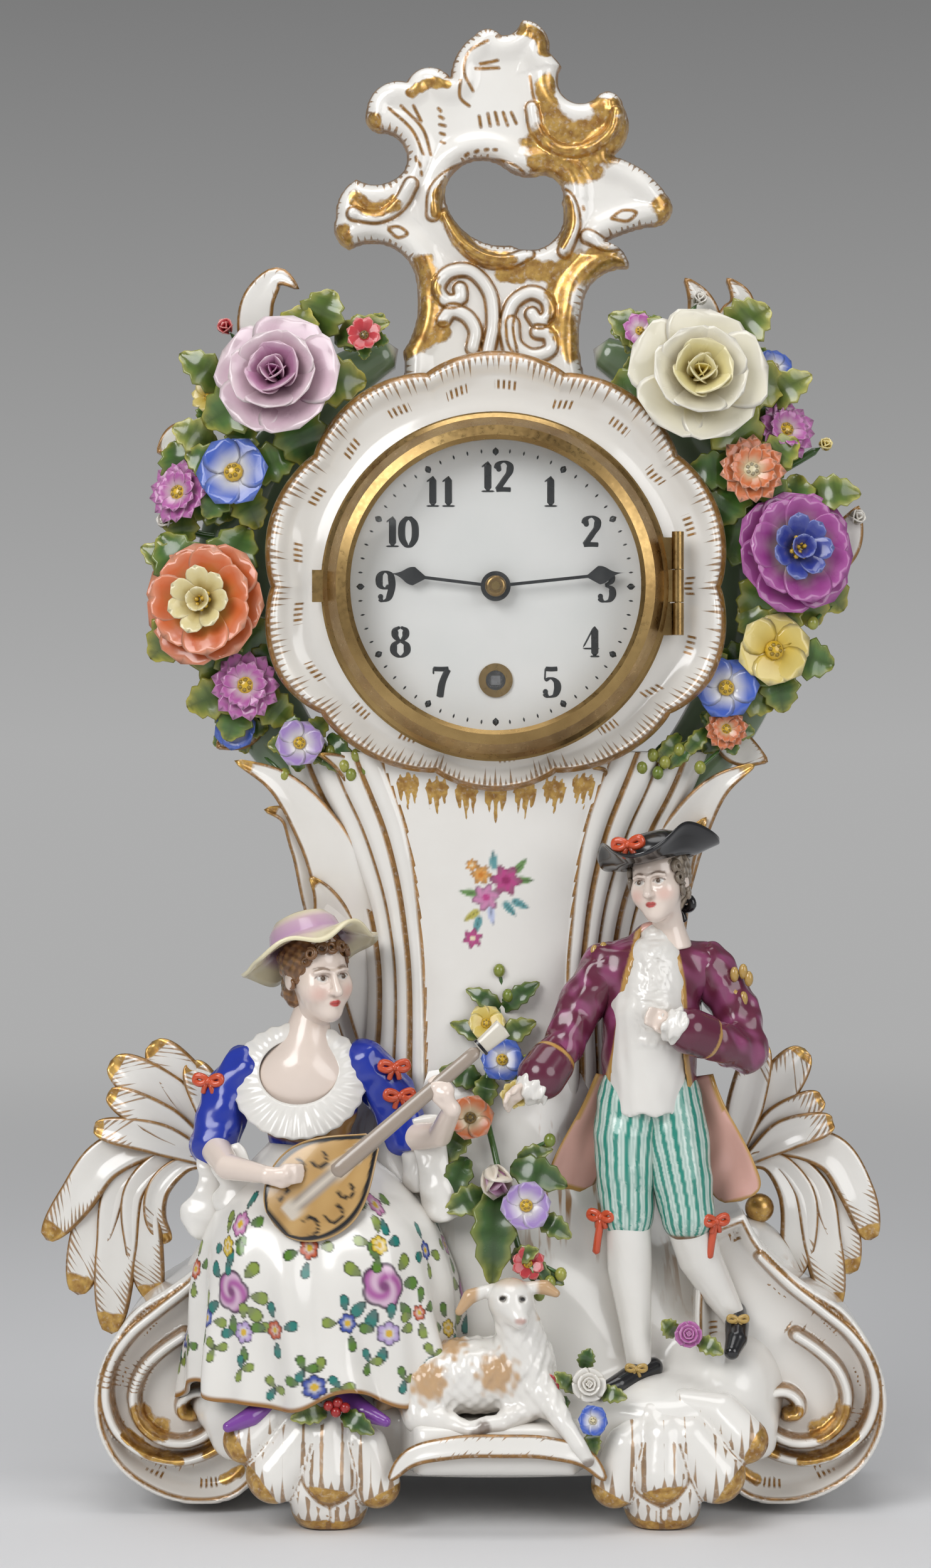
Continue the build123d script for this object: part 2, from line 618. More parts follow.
def make_drum_case():
    body = disc(DRUM_R, SEAT_Y, SEAT_Y + DRUM_DEPTH) + cartouche_block()
    dish_wall = CARTOUCHE_R - FLANGE_R
    dish = spun([
        (0, SEAT_Y - CUT), (CARTOUCHE_R - dish_wall / 4, SEAT_Y - CUT), (CARTOUCHE_R - dish_wall / 4, SEAT_Y),
        (FLANGE_R + dish_wall / 4, SEAT_Y + DISH_DEPTH), (FLANGE_R + FIT, SEAT_Y + DISH_DEPTH),
        (FLANGE_R + FIT, SEAT_Y), (0, SEAT_Y),
    ])
    return body - dish - disc(BORE_R, SEAT_Y - CUT, SEAT_Y + DRUM_DEPTH + CUT)


def crest_points(rows):
    base_x, base_z = AXIS_X + CREST_X, DIAL_Z + CREST_BASE_UP
    return [(base_x + x * CREST_W, base_z + z * CREST_H, rise) for x, z, rise in rows]


def make_crest(drum_case):
    """Pierced rocaille crest that stands on top of the drum."""
    back_y = DRUM_Y - DRUM_DEPTH / 4 + CREST_T
    crest = upright(crest_points(CREST_OUTLINE_SHARES), back_y, CREST_T)
    hole = upright(crest_points(CREST_HOLE_SHARES), back_y + CUT, CREST_T + CUT * 2)
    return cut_by(crest - hole, drum_case)


def make_leaf_scroll(hand, fronds, reach, height, foot_z, *neighbours):
    """Fan of rounded fronds on a stem that springs from inside the outline of the mound."""
    first_x, first_z, first_r = fronds[0][:3]
    stem_z, stem_r = foot_z + first_z * height, first_r * height
    stem_root = Pos(AXIS_X + hand * LEAF_ROOT_SHARE * MOUND_RX, stem_z) * Circle(stem_r)
    stem_end = Pos(AXIS_X + hand * first_x * reach, stem_z) * Circle(stem_r)
    face = make_hull(stem_root.edges() + stem_end.edges())
    for root_x, root_z, root_r, tip_x, tip_z, tip_r in fronds:
        root = Pos(AXIS_X + hand * root_x * reach, foot_z + root_z * height) * Circle(root_r * height)
        tip = Pos(AXIS_X + hand * tip_x * reach, foot_z + tip_z * height) * Circle(tip_r * height)
        face = face + make_hull(root.edges() + tip.edges())
    leaf = Pos(0, LEAF_Y + LEAF_T, 0) * extrude(Plane.XZ * face, LEAF_T)
    return cut_by(leaf, *neighbours)


def make_pedestal_leaves(*neighbours):
    """Tall leaf on each side of the pedestal, flaring out under the clock head."""
    leaves = []
    for hand in (-1, 1):
        points = []
        for x, z, rise in PEDESTAL_LEAF_SHARES:
            out = PEDESTAL_LEAF_OUT - x * PEDESTAL_LEAF_W
            points.append((AXIS_X + hand * out, PEDESTAL_LEAF_FOOT + z * PEDESTAL_LEAF_H, hand * -rise))
        leaves.append(cut_by(upright(points, MOUND_Y + PEDESTAL_LEAF_T / 2, PEDESTAL_LEAF_T), *neighbours))
    return leaves


def beside_dial(hand, distance, degrees):
    """X, Z point at a distance from the dial's axis, at an angle from twelve o'clock towards one side."""
    x, z = turned(distance, degrees)
    return AXIS_X + hand * x, DIAL_Z + z


def garland_outline(hand):
    """Edges of a crescent about the dial's axis, with rounded ends."""
    start, end = GARLAND_ARC
    rim, root = GARLAND_WING_R + GARLAND_W / 2, GARLAND_WING_R - GARLAND_W / 2
    corners = [(rim, start), (rim, end), (root, end), (root, start)]
    middle = (start + end) / 2
    ends = [(GARLAND_WING_R, end + GARLAND_END), (GARLAND_WING_R, start - GARLAND_END)]
    crowns = [(rim, middle), ends[0], (root, middle), ends[1]]
    edges = []
    for arc in zip(corners, crowns, corners[1:] + corners[:1]):
        edges.append(ThreePointArc(*[beside_dial(hand, *point) for point in arc]))
    return edges


def make_garland(hand, *neighbours):
    """Crescent of porcelain beside the head, and the flowers that stand on its front."""
    edges = garland_outline(hand)
    wing = Pos(0, GARLAND_FRONT_Y + GARLAND_T, 0) * extrude(Plane.XZ * make_face(Wire(edges)), GARLAND_T)
    solids = [cut_by(wing, *neighbours)]
    for angle, distance, size, petals in GARLAND_SHARES:
        x, z = beside_dial(hand, distance * GARLAND_R, angle)
        eye = FLOWER_EYE_R * size
        flower = rosette(FLOWER_R * size, FLOWER_T * size, petals, eye, FLOWER_EYE_T * size)
        solids.append(cut_by(Pos(x, GARLAND_FRONT_Y, z) * flower, *neighbours))
    return solids


def make_pedestal_spray(*neighbours):
    """Flowers on stems that reach back into the pedestal and the mound, following the mound's slope."""
    solids = []
    for x, z, size, petals in SPRAY_SHARES:
        radius = SPRAY_FLOWER_R * size
        flower = rosette(radius, SPRAY_FLOWER_T + MOUND_RY, petals, radius / 3, FLOWER_EYE_T)
        height = SPRAY_Z + z * SPRAY_H
        depth = MOUND_Y + WALL - max(0, (MOUND_TOP - height)) * SPRAY_SLOPE_SHARE
        solids.append(cut_by(Pos(AXIS_X + SPRAY_X + x * SPRAY_FLOWER_R, depth, height) * flower, *neighbours))
    return solids


def make_base_flowers(*neighbours):
    solids = []
    for x, y, size in BASE_FLOWER_SHARES:
        bloom = Cylinder(BASE_FLOWER_R * size, BASE_FLOWER_T, align=(Align.CENTER, Align.CENTER, Align.MIN))
        place = Pos(AXIS_X + x * PLINTH_W / 2, y * BASE_DEPTH / 2, PLINTH_TOP)
        solids.append(cut_by(place * bloom, *neighbours))
    return solids


# Porcelain figures


def lady_point(shares):
    """A point in heads, from the lady's seat on the base, to millimetres."""
    x, y, z = shares
    return AXIS_X + LADY_X + x * LADY_HEAD, LADY_Y + y * LADY_HEAD, PLINTH_TOP + z * LADY_HEAD


def man_point(shares):
    x, y, z = shares
    return AXIS_X + MAN_X + x * MAN_HEAD, MAN_Y + y * MAN_HEAD, PLINTH_TOP + z * MAN_HEAD


def level_rows(rows, point, head):
    """Rows of a loft in heads to level ellipses in millimetres."""
    levels = []
    for z, x, y, rx, ry in rows:
        place_x, place_y, place_z = point((x, y, z))
        levels.append((place_z, place_x, place_y, rx * head, ry * head))
    return levels


def lady(rows):
    return level_rows(rows, lady_point, LADY_HEAD)


def man(rows):
    return level_rows(rows, man_point, MAN_HEAD)


def lady_limb(rows):
    return limb([(*lady_point(row[:3]), row[3] * LADY_HEAD) for row in rows])


def man_limb(rows):
    return limb([(*man_point(row[:3]), row[3] * MAN_HEAD) for row in rows])


def head_ball(centre, head):
    return ball(*centre, HEAD_WIDTH_SHARE * head, HEAD_DEPTH_SHARE * head, HEAD_HEIGHT_SHARE * head)


def make_lady_hat(*neighbours):
    profile = [(r * LADY_HEAD, z * LADY_HEAD) for r, z in LADY_HAT_PROFILE_SHARES]
    hat = revolve(Plane.XZ * make_face(Polyline(profile, close=True)), Axis.Z)
    return cut_by(Pos(*lady_point(LADY_HAT_SHARES)) * Rot(0, -LADY_HAT_TILT, 0) * hat, *neighbours)


def make_mandolin():
    """Pear-shaped bowl, neck and peg head, lying across the lady's lap."""
    bowl_profile = [(r * LADY_HEAD, z * LADY_HEAD) for z, r in MANDOLIN_BODY_SHARES]
    tail, throat = bowl_profile[0], bowl_profile[-1]
    closing = Polyline([throat, (0, throat[1]), (0, tail[1]), tail])
    edge = Spline(bowl_profile) + closing
    bowl = scale(revolve(Plane.XZ * make_face(edge), Axis.Z), by=(1, MANDOLIN_DEPTH_SHARE, 1))
    front = Pos(0, -LADY_HEAD, 0) * Box(LADY_HEAD * 4, LADY_HEAD * 2, LADY_HEAD * 4)
    length, width, depth = (share * LADY_HEAD for share in MANDOLIN_NECK_SHARES)
    peg_length, peg_width, peg_depth = (share * LADY_HEAD for share in MANDOLIN_HEAD_SHARES)
    neck = Pos(0, depth / 2, throat[1] + length / 2) * Box(width, depth, length)
    pegs = Pos(0, peg_depth / 2, throat[1] + length + peg_length / 2) * Box(peg_width, peg_depth, peg_length)
    place = Pos(*lady_point(MANDOLIN_PLACE_SHARES)) * Rot(0, 90 - MANDOLIN_TILT, 0)
    return place * ((bowl - front) + neck + pegs)


def make_lady_arms(*neighbours):
    return [cut_by(lady_limb(rows), *neighbours) for rows in (LADY_RIGHT_ARM_SHARES, LADY_LEFT_ARM_SHARES)]


def make_man_legs(*neighbours):
    """Stockinged legs, each with its shoe under it."""
    legs = []
    for rows in (MAN_RIGHT_LEG_SHARES, MAN_LEFT_LEG_SHARES):
        leg = man_limb(rows)
        x, y, z = man_point(rows[0][:3])
        length = SHOE_LENGTH_SHARE * MAN_HEAD
        width = SHOE_WIDTH_SHARE * MAN_HEAD
        height = SHOE_HEIGHT_SHARE * MAN_HEAD
        shoe = ball(x, y - length / 4, z, width / 2, length / 2, height)
        legs.append(cut_by(leg + shoe, *neighbours))
    return legs


def make_man_breeches(*neighbours):
    return cut_by(man_limb(MAN_RIGHT_THIGH_SHARES) + man_limb(MAN_LEFT_THIGH_SHARES), *neighbours)


def make_man_coat(*neighbours):
    """Open coat: a thick shell round the back and sides, with its front left open."""
    rows = man(MAN_COAT_SHARES)
    low, high = rows[0][0] - CUT, rows[-1][0] + CUT
    outer = ellipses(rows)
    inner = ellipses([(z, x, y, rx - COAT_T, ry - COAT_T) for z, x, y, rx, ry in rows])
    gap = [(AXIS_X + MAN_X + x * MAN_HEAD, z) for x, z in zip(COAT_OPENING_SHARES, (low, low, high, high))]
    front = Plane.XZ * make_face(Polyline(gap, close=True))
    opening = Pos(0, MAN_Y + MAN_HEAD / 8, 0) * extrude(front, MAN_HEAD)
    return cut_by(outer - inner - opening, *neighbours)


def make_man_hat(*neighbours):
    """Three-cornered hat: a thick turned-up brim about a low crown."""
    brim_h, crown_r = MAN_HAT_BRIM_SHARE * MAN_HEAD, MAN_HAT_CROWN_SHARE * MAN_HEAD
    outline = [(x * MAN_HEAD, y * MAN_HEAD, r) for x, y, r in MAN_HAT_OUTLINE_SHARES]
    brim = extrude(make_face(bulged(outline)), brim_h)
    crown = Cylinder(crown_r, MAN_HAT_RISE_SHARE * MAN_HEAD, align=(Align.CENTER, Align.CENTER, Align.MIN))
    return cut_by(Pos(*man_point(MAN_HAT_SHARES)) * Rot(0, MAN_HAT_TILT, 0) * (brim + crown), *neighbours)


def lamb_point(x, y, z):
    """A point in lengths of the lamb, from its place on the base, to millimetres."""
    return AXIS_X + LAMB_X + x * LAMB_L, LAMB_Y + y * LAMB_L, PLINTH_TOP + (z - LAMB_SINK_SHARE) * LAMB_L


def lamb_limb(rows):
    return limb([(*lamb_point(*row[:3]), row[3] * LAMB_L) for row in rows])


def make_lamb(*neighbours):
    body = lamb_limb(LAMB_BODY_SHARES) + lamb_limb(LAMB_NECK_SHARES)
    x, y, z, rx, ry, rz = LAMB_HEAD_SHARES
    body = body + ball(*lamb_point(x, y, z), rx * LAMB_L, ry * LAMB_L, rz * LAMB_L)
    for rows in LAMB_LEG_SHARES:
        body = body + lamb_limb(rows)
    return cut_by(body, *neighbours)


# Bezel, dial and hands


HINGE_X = AXIS_X + BEZEL_R + HINGE_OUT
DOOR_BACK_Y = SEAT_Y - FLANGE_T - DOOR_GAP
HINGE_Y = DOOR_BACK_Y - HINGE_R
DOOR_FRONT_Y = DOOR_BACK_Y - BEZEL_DEPTH


def knuckle(low, high):
    """Hinge barrel between two heights, bored for its pin."""
    barrel = Cylinder(HINGE_R, high - low) - Cylinder(HINGE_PIN_R + RUN, high - low + CUT)
    return Pos(HINGE_X, HINGE_Y, DIAL_Z + (low + high) / 2) * barrel


def make_bezel_ring():
    glass_y = DOOR_FRONT_Y + GLASS_SEAT
    ring_solid = spun([
        (GLASS_R + FIT, DOOR_BACK_Y), (BEZEL_R, DOOR_BACK_Y), (BEZEL_R, DOOR_BACK_Y - BEZEL_STEP),
        (BEZEL_R - BEZEL_STEP / 2, DOOR_BACK_Y - BEZEL_STEP * 1.5),
        ((BEZEL_R + BEZEL_LIP_R) / 2, DOOR_FRONT_Y + BEZEL_STEP / 2),
        (BEZEL_LIP_R + FLANGE_T, DOOR_FRONT_Y), (BEZEL_LIP_R, DOOR_FRONT_Y + FLANGE_T),
        (BEZEL_LIP_R, glass_y),
        (GLASS_R + FIT, glass_y),
    ])
    half = HINGE_KNUCKLE / 2
    leaf = Pos(HINGE_X - HINGE_OUT, HINGE_Y, DIAL_Z) * Box(HINGE_OUT * 2, HINGE_LEAF_T, HINGE_KNUCKLE)
    bore = Pos(HINGE_X, HINGE_Y, DIAL_Z) * Cylinder(HINGE_PIN_R + RUN, HINGE_KNUCKLE + CUT)
    tab = Pos(AXIS_X - BEZEL_R, DOOR_BACK_Y - BEZEL_STEP / 2, DIAL_Z) * Box(TAB_REACH * 2, TAB_T, TAB_W)
    hollow = disc(BEZEL_R - FLANGE_T, DOOR_FRONT_Y - CUT, DOOR_BACK_Y + CUT)
    return ring_solid + knuckle(-half, half) + (leaf - bore - hollow) + (tab - hollow)


def make_bezel_glass():
    """Domed glass whose edge lies behind the bezel's lip."""
    edge_y = DOOR_FRONT_Y + GLASS_SEAT
    sphere_r = (GLASS_R**2 + GLASS_RISE**2) / (2 * GLASS_RISE)
    centre_y = edge_y - GLASS_RISE + sphere_r
    outer = Pos(AXIS_X, centre_y, DIAL_Z) * Sphere(sphere_r)
    inner = Pos(AXIS_X, centre_y, DIAL_Z) * Sphere(sphere_r - GLASS_T)
    lens = (outer - inner) & disc(GLASS_R, edge_y - GLASS_RISE * 2, edge_y + GLASS_T)
    rim_room = ring(GLASS_R + CUT, BEZEL_LIP_R - FIT, edge_y - GLASS_RISE * 2, edge_y)
    return solid_of(lens - rim_room)


def make_hinge_pin():
    length = HINGE_KNUCKLE * 3 + HINGE_GAP * 2
    pin = Cylinder(HINGE_PIN_R, length)
    head = Pos(0, 0, length / 2 + HINGE_PIN_HEAD / 2) * Cylinder(HINGE_R, HINGE_PIN_HEAD)
    return Pos(HINGE_X, HINGE_Y, DIAL_Z) * (pin + head)


def make_dial_flange():
    """Brass seat on the porcelain: flange, wall, ledge behind the dial, hinge knuckles and screw lugs."""
    wall_in = FLANGE_WALL_R - FLANGE_WALL_T
    seat = ring(FLANGE_R, wall_in, SEAT_Y - FLANGE_T, SEAT_Y)
    wall = ring(FLANGE_WALL_R, wall_in, SEAT_Y - FLANGE_T, DIAL_BACK_Y + LEDGE_T)
    ledge = ring(FLANGE_WALL_R, LEDGE_R, DIAL_BACK_Y, DIAL_BACK_Y + LEDGE_T)
    flange = seat + wall + ledge
    low, high = HINGE_KNUCKLE / 2 + HINGE_GAP, HINGE_KNUCKLE * 1.5 + HINGE_GAP
    post_depth = SEAT_Y - HINGE_Y
    arm_width = HINGE_X + HINGE_R - (AXIS_X + FLANGE_R - FLANGE_T * 2)
    arm_x = HINGE_X + HINGE_R - arm_width / 2
    for a, b in ((low, high), (-high, -low)):
        middle = DIAL_Z + (a + b) / 2
        arm = Pos(arm_x, SEAT_Y - FLANGE_T / 2, middle) * Box(arm_width, FLANGE_T, b - a)
        post = Pos(HINGE_X, HINGE_Y + post_depth / 2, middle) * Box(HINGE_LEAF_T, post_depth, b - a)
        bore = Pos(HINGE_X, HINGE_Y, DIAL_Z) * Cylinder(HINGE_PIN_R + RUN, high * 2 + CUT)
        flange = flange + arm + (post - bore) + knuckle(a, b)
    lug_y = DIAL_BACK_Y + LEDGE_T
    for angle in SCREW_ANGLES:
        x, z = beside_dial(1, SCREW_PCD_R, angle)
        lug = disc(LUG_R, lug_y, lug_y + LUG_L, x, z)
        thread = disc(SCREW_R + FIT, lug_y, lug_y + LUG_L + CUT, x, z)
        flange = flange + (lug & disc(BORE_R - RUN * 2, SEAT_Y, BACK_Y)) - thread
    return flange


def make_dial():
    plate = disc(DIAL_R, DIAL_BACK_Y - DIAL_T, DIAL_BACK_Y)
    plate -= disc(DIAL_HOLE_R, SEAT_Y - CUT, DIAL_BACK_Y + CUT)
    return plate - disc(COLLET_R - COLLET_RIM, SEAT_Y - CUT, DIAL_BACK_Y + CUT, AXIS_X, DIAL_Z - WINDING_DROP)


def make_winding_collet():
    """Brass eyelet that lines the winding hole."""
    z = DIAL_Z - WINDING_DROP
    tube_r = COLLET_R - COLLET_RIM - FIT
    front = DIAL_BACK_Y - DIAL_T
    lip = ring(COLLET_R, tube_r - COLLET_WALL, front - COLLET_LIP, front, AXIS_X, z)
    tube = ring(tube_r, tube_r - COLLET_WALL, front - COLLET_LIP, DIAL_BACK_Y, AXIS_X, z)
    return lip + tube


def hand_outline(length, angle):
    """Spade hand as a thin plate: eye, slim stem, spade and point."""
    spade_start = length - SPADE_L
    swell = spade_start + SPADE_L * SPADE_SWELL_SHARE
    half, wide = HAND_W / 2, SPADE_W / 2
    neck_x, neck_z = wide * SPADE_NECK_SHARES[0], swell + SPADE_L * SPADE_NECK_SHARES[1]
    right = [(half, 0), (half, spade_start), (wide, swell)]
    tip = Spline([(wide, swell), (neck_x, neck_z), (0, length)], tangents=[(0, 1), (0, 1)])
    tip_left = Spline([(0, length), (-neck_x, neck_z), (-wide, swell)], tangents=[(0, -1), (0, -1)])
    left = [(-wide, swell), (-half, spade_start), (-half, 0)]
    blade = make_face(Polyline(right) + tip + tip_left + Polyline(left) + Line((-half, 0), (half, 0)))
    return blade.rotate(Axis.Z, -angle)


def make_hand(length, angle, bore, front):
    """A hand between front and front plus its thickness, with a bored eye."""
    blade = Pos(AXIS_X, front + HAND_T, DIAL_Z) * extrude(Plane.XZ * hand_outline(length, angle), HAND_T)
    return blade + disc(HAND_EYE_R, front, front + HAND_T) - disc(bore, front - CUT, front + HAND_T + CUT)


DIAL_FRONT_Y = DIAL_BACK_Y - DIAL_T
HOUR_HAND_Y = DIAL_FRONT_Y - HAND_GAP - HAND_T - COLLET_LIP
MINUTE_HAND_Y = HOUR_HAND_Y - HAND_GAP - HAND_T


# Movement


def toothed(teeth, module, addendum_share, front, width, centre, tooth_at):
    """Wheel along Y with straight-sided teeth, one of them centred on the bearing tooth_at."""
    pitch_r = teeth * module / 2
    tip_r = pitch_r + module * addendum_share
    root_r = pitch_r - module * DEDENDUM_SHARE
    pitch = 360 / teeth
    flank = [(root_r, ROOT_SHARE), (pitch_r, TOOTH_SHARE), (tip_r, TIP_SHARE)]
    tooth = [(radius, -share) for radius, share in flank] + flank[::-1]
    points = []
    for i in range(teeth):
        for radius, share in tooth:
            points.append(turned(radius, tooth_at + pitch * (i + share / 2)))
    face = make_face(Polyline(points, close=True))
    return Pos(AXIS_X + centre[0], front + width, DIAL_Z + centre[1]) * extrude(Plane.XZ * face, width)


def solid_wheel(teeth, module, front, centre, tooth_at):
    return toothed(teeth, module, ADDENDUM_SHARE, front, WHEEL_T, centre, tooth_at)


def wheel(teeth, module, front, centre, tooth_at):
    """A crossed-out train wheel: toothed rim, four spokes."""
    solid = solid_wheel(teeth, module, front, centre, tooth_at)
    rim_in = (teeth * module / 2 - module * DEDENDUM_SHARE) * RIM_SHARE
    hub = ARBOR_R * 3
    x, z = AXIS_X + centre[0], DIAL_Z + centre[1]
    window = ring(rim_in, hub, front - CUT, front + WHEEL_T + CUT, x, z)
    for i in range(SPOKES // 2):
        spoke = Rot(0, 180 / (SPOKES // 2) * i, 0) * Box(rim_in * 2 + CUT, (WHEEL_T + CUT) * 4, SPOKE_W)
        window = window - Pos(x, front, z) * spoke
    return solid - window


def pinion(teeth, module, front, centre, tooth_at, width=PINION_T):
    return toothed(teeth, module, PINION_ADDENDUM_SHARE, front, width, centre, tooth_at)


def arbor(centre):
    """Plain arbor between the plates with a pivot into each."""
    x, z = AXIS_X + centre[0], DIAL_Z + centre[1]
    start, end = TRAIN_Y + RUN * 2, BACK_PLATE_Y - RUN * 2
    pivots = disc(PIVOT_R, TRAIN_Y - PLATE_T, BACK_PLATE_Y + PLATE_T, x, z)
    return disc(ARBOR_R, start, end, x, z) + pivots


def mesh_distance(teeth, other_teeth, module):
    return (teeth + other_teeth) * module / 2


def third_corner(first, second, from_first, from_second, side):
    """The X, Z point at given distances from two others, on one side of their line."""
    span = math.dist(first, second)
    along = (from_first**2 - from_second**2 + span**2) / (2 * span)
    off = math.sqrt(from_first**2 - along**2) * side
    ux, uz = (second[0] - first[0]) / span, (second[1] - first[1]) / span
    return first[0] + ux * along - uz * off, first[1] + uz * along + ux * off


def step_from(start, distance, degrees):
    x, z = turned(distance, degrees)
    return start[0] + x, start[1] + z


CENTRE_AT = (0.0, 0.0)
BARREL_AT = (0.0, -WINDING_DROP)
INTER_AT = third_corner(
    CENTRE_AT, BARREL_AT, mesh_distance(CENTRE_PINION_TEETH, INTER_TEETH, INTER_MODULE),
    mesh_distance(GREAT_TEETH, INTER_PINION_TEETH, GREAT_MODULE), -1,
)
THIRD_AT = step_from(CENTRE_AT, mesh_distance(CENTRE_TEETH, THIRD_PINION_TEETH, CENTRE_MODULE), THIRD_BEARING)
FOURTH_AT = step_from(THIRD_AT, mesh_distance(THIRD_TEETH, FOURTH_PINION_TEETH, THIRD_MODULE), FOURTH_BEARING)
ESCAPE_MESH = mesh_distance(FOURTH_TEETH, ESCAPE_PINION_TEETH, FOURTH_MODULE)
ESCAPE_AT = step_from(FOURTH_AT, ESCAPE_MESH, ESCAPE_BEARING)
LEVER_AT = step_from(ESCAPE_AT, LEVER_DISTANCE, LEVER_BEARING)
BALANCE_AT = step_from(LEVER_AT, BALANCE_DISTANCE, BALANCE_BEARING)
MOTION_DISTANCE = mesh_distance(CANNON_TEETH, MINUTE_TEETH, MOTION_MODULE)
MINUTE_AT = step_from(CENTRE_AT, MOTION_DISTANCE, MINUTE_BEARING)
HOUR_MODULE = 2 * MOTION_DISTANCE / (MINUTE_PINION_TEETH + HOUR_TEETH)
ARBORS_AT = (INTER_AT, THIRD_AT, FOURTH_AT, ESCAPE_AT, LEVER_AT)

# Planes of the wheels, counted back from the front plate
CENTRE_WHEEL_Y = TRAIN_Y + LAYER
THIRD_WHEEL_Y = CENTRE_WHEEL_Y + LAYER
FOURTH_WHEEL_Y = THIRD_WHEEL_Y + LAYER
BARREL_Y = TRAIN_Y + WHEEL_T
GREAT_WHEEL_Y = BARREL_Y + BARREL_L
INTER_WHEEL_Y = GREAT_WHEEL_Y + WHEEL_T + LAYER
ESCAPE_WHEEL_Y = BACK_PLATE_Y - LAYER
HOUR_WHEEL_Y = DIAL_BACK_Y + WHEEL_T
MINUTE_WHEEL_Y = HOUR_WHEEL_Y + WHEEL_T + CLICK_T


def half_tooth(teeth):
    return 180 / teeth


def plate_holes(front, wind_r):
    """Pivot holes of the train, and the barrel arbor's and centre arbor's larger holes."""
    back = front + PLATE_T
    holes = [disc(PIVOT_R + RUN, front - CUT, back + CUT, AXIS_X + x, DIAL_Z + z) for x, z in ARBORS_AT]
    holes.append(disc(CENTRE_ARBOR_R + RUN, front - CUT, back + CUT))
    holes.append(disc(wind_r + RUN, front - CUT, back + CUT, AXIS_X, DIAL_Z - WINDING_DROP))
    holes.append(disc(PIVOT_R + RUN, front - CUT, back + CUT, AXIS_X + BALANCE_AT[0], DIAL_Z + BALANCE_AT[1]))
    return holes


def make_plate(front, wind_r):
    plate = disc(PLATE_R, front, front + PLATE_T)
    for hole in plate_holes(front, wind_r):
        plate = plate - hole
    for angle in PILLAR_ANGLES:
        x, z = turned(PILLAR_PCD_R, angle)
        plate = plate - disc(THREAD_R + FIT, front - CUT, front + PLATE_T + CUT, AXIS_X + x, DIAL_Z + z)
    return plate


def make_front_plate():
    """Front plate with the studs that the minute wheel and the click turn on."""
    plate = make_plate(PLATE_Y, WIND_ARBOR_R)
    stud = disc(ARBOR_R, HOUR_WHEEL_Y - FIT, PLATE_Y, AXIS_X + MINUTE_AT[0], DIAL_Z + MINUTE_AT[1])
    click_front = PLATE_Y - RATCHET_T - CLICK_GAP - FIT
    click_stud = disc(CLICK_PIVOT_R, click_front, PLATE_Y, AXIS_X + CLICK_AT[0], DIAL_Z + CLICK_AT[1])
    return plate + stud + click_stud


def make_plate_pillars():
    """Four pillars between the plates with nuts behind, and four posts from the ledge to the front plate."""
    solids = []
    for angle in PILLAR_ANGLES:
        x, z = turned(PILLAR_PCD_R, angle)
        x, z = AXIS_X + x, DIAL_Z + z
        pillar = disc(PILLAR_R, TRAIN_Y, BACK_PLATE_Y, x, z) + disc(THREAD_R, PLATE_Y, REAR_Y + NUT_T, x, z)
        nut = disc(NUT_R, REAR_Y, REAR_Y + NUT_T, x, z)
        solids.append(pillar + nut)
    for angle in POST_ANGLES:
        x, z = turned(POST_PCD_R, angle)
        solids.append(disc(POST_R, DIAL_BACK_Y + LEDGE_T, PLATE_Y, AXIS_X + x, DIAL_Z + z))
    return solids


def make_movement_can():
    front = DIAL_BACK_Y + LEDGE_T
    can = ring(CAN_R, CAN_R - CAN_T, front, front + CAN_L)
    return can + disc(CAN_R, front + CAN_L, front + CAN_L + CAN_T)


def make_back_cover():
    """Brass disc on the back of the porcelain, drilled for the two long case screws."""
    back = SEAT_Y + DRUM_DEPTH
    cover = disc(COVER_R, back, back + COVER_T)
    for angle in SCREW_ANGLES:
        x, z = turned(SCREW_PCD_R, angle)
        cover = cover - disc(SCREW_R + FIT, back - CUT, back + COVER_T + CUT, AXIS_X + x, DIAL_Z + z)
    return cover


def make_case_screws():
    solids = []
    back = SEAT_Y + DRUM_DEPTH + COVER_T
    for angle in SCREW_ANGLES:
        x, z = turned(SCREW_PCD_R, angle)
        x, z = AXIS_X + x, DIAL_Z + z
        shank = disc(SCREW_R, DIAL_BACK_Y + LEDGE_T + FIT, back, x, z)
        head = disc(SCREW_HEAD_R, back, back + SCREW_HEAD_T, x, z)
        slot = Pos(x, back + SCREW_HEAD_T, z) * Box(SCREW_HEAD_R * 4, SCREW_HEAD_T, SCREW_R / 2)
        solids.append(shank + head - slot)
    return solids


def make_winding_arbor():
    """Barrel arbor with the winding square that reaches into the dial's hole."""
    z = DIAL_Z - WINDING_DROP
    square_l = PLATE_Y - RATCHET_T * 2 - DIAL_FRONT_Y
    body = disc(WIND_ARBOR_R, PLATE_Y - RATCHET_T * 2, GREAT_WHEEL_Y + WHEEL_T * 2, AXIS_X, z)
    body = body + disc(WIND_PIVOT_R, GREAT_WHEEL_Y, REAR_Y, AXIS_X, z)
    square = Pos(AXIS_X, PLATE_Y - RATCHET_T * 2 - square_l / 2, z) * Box(WIND_SQUARE, square_l, WIND_SQUARE)
    return body + square


